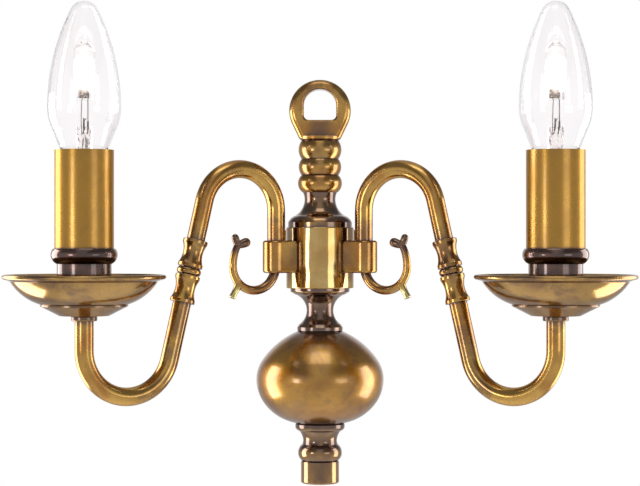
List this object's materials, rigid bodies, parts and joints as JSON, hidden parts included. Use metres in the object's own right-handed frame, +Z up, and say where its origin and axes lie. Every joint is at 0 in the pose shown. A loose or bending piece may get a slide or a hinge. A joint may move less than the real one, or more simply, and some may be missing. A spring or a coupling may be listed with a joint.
{
  "type": "double arm wall sconce",
  "caption": "Turned brass wall light: scrolled arms carry drip pans, candle tubes and screw-in candle lamps, on a column with a ring finial, a ball and a small round wall plate.",
  "frame": {"origin": "centre of the cable entry in the back face of the wall plate, level with the arm sockets", "axes": "+Z up, +Y into the wall, -Y toward the room, +X along the longest extent, to the right seen from the room"},
  "size_m": [0.3014, 0.1405, 0.2366],
  "materials": {
    "aged_brass": "polished brass with a brown antique patina in the hollows",
    "dark_brass": "darkened brass",
    "tube_brass": "polished brass tube",
    "shell_brass": "nickel brass sheet",
    "steel": "zinc plated steel",
    "connector": "moulded insulating plastic",
    "holder": "black phenolic moulding",
    "lead": "insulated flexible lead",
    "lamp_contact": "black glass insulator with a solder button",
    "lamp_cap": "thin rolled screw cap",
    "clear_glass": "clear blown glass",
    "wire": "drawn wire"
  },
  "bodies": {
    "bracket": {"ring_finial": "aged_brass", "bell_cap": "aged_brass", "hub_drum": "aged_brass", "hub_neck": "aged_brass", "ball": "aged_brass", "finial": "aged_brass", "tie_rod": "steel", "hub_nuts": "steel", "terminal_block": "connector", "wall_plate": "aged_brass", "wall_stem": "aged_brass", "stem_nut": "steel", "left_arm_block": "aged_brass", "left_block_nut": "steel", "left_arm_tube": "aged_brass", "left_upper_spool": "aged_brass", "left_knuckle_ring": "aged_brass", "left_lower_spool": "aged_brass", "left_scroll": "aged_brass", "left_drip_pan": "aged_brass", "left_pan_collar": "aged_brass", "left_arm_nipple": "steel", "left_candle_cup": "dark_brass", "left_lampholder_body": "holder", "left_screw_shell": "shell_brass", "left_centre_contact": "shell_brass", "left_arm_lead": "lead", "right_arm_block": "aged_brass", "right_block_nut": "steel", "right_arm_tube": "aged_brass", "right_upper_spool": "aged_brass", "right_knuckle_ring": "aged_brass", "right_lower_spool": "aged_brass", "right_scroll": "aged_brass", "right_drip_pan": "aged_brass", "right_pan_collar": "aged_brass", "right_arm_nipple": "steel", "right_candle_cup": "dark_brass", "right_lampholder_body": "holder", "right_screw_shell": "shell_brass", "right_centre_contact": "shell_brass", "right_arm_lead": "lead"},
    "left_sleeve": {"left_candle_tube": "tube_brass"},
    "left_lamp_foot": {"left_lamp_contact": "lamp_contact"},
    "left_lamp": {"left_lamp_cap": "lamp_cap", "left_lamp_glass": "clear_glass", "left_lamp_stem": "clear_glass", "left_lamp_capsule": "clear_glass", "left_lamp_wires": "wire"},
    "right_sleeve": {"right_candle_tube": "tube_brass"},
    "right_lamp_foot": {"right_lamp_contact": "lamp_contact"},
    "right_lamp": {"right_lamp_cap": "lamp_cap", "right_lamp_glass": "clear_glass", "right_lamp_stem": "clear_glass", "right_lamp_capsule": "clear_glass", "right_lamp_wires": "wire"}
  },
  "joints": [
    {"name": "left_sleeve_lift", "type": "slide", "parent": "bracket", "child": "left_sleeve", "axis": [0, 0, 1], "range_m": [0, 0.0035]},
    {"name": "left_lamp_travel", "type": "slide", "parent": "bracket", "child": "left_lamp_foot", "axis": [0, 0, 1], "range_m": [0, 0.0149]},
    {"name": "left_lamp_turn", "type": "hinge", "parent": "left_lamp_foot", "child": "left_lamp", "pos_m": [-0.11184, -0.10157, 0.06], "axis": [0, 0, 1], "range_deg": [0, 1890]},
    {"name": "right_sleeve_lift", "type": "slide", "parent": "bracket", "child": "right_sleeve", "axis": [0, 0, 1], "range_m": [0, 0.0035]},
    {"name": "right_lamp_travel", "type": "slide", "parent": "bracket", "child": "right_lamp_foot", "axis": [0, 0, 1], "range_m": [0, 0.0149]},
    {"name": "right_lamp_turn", "type": "hinge", "parent": "right_lamp_foot", "child": "right_lamp", "pos_m": [0.11184, -0.10157, 0.06], "axis": [0, 0, 1], "range_deg": [0, 1890]}
  ],
  "couplings": [
    {"joint": "left_lamp_travel", "follows": "left_lamp_turn", "m_per_rad": 0.00044882},
    {"joint": "right_lamp_travel", "follows": "right_lamp_turn", "m_per_rad": 0.00044882}
  ]
}
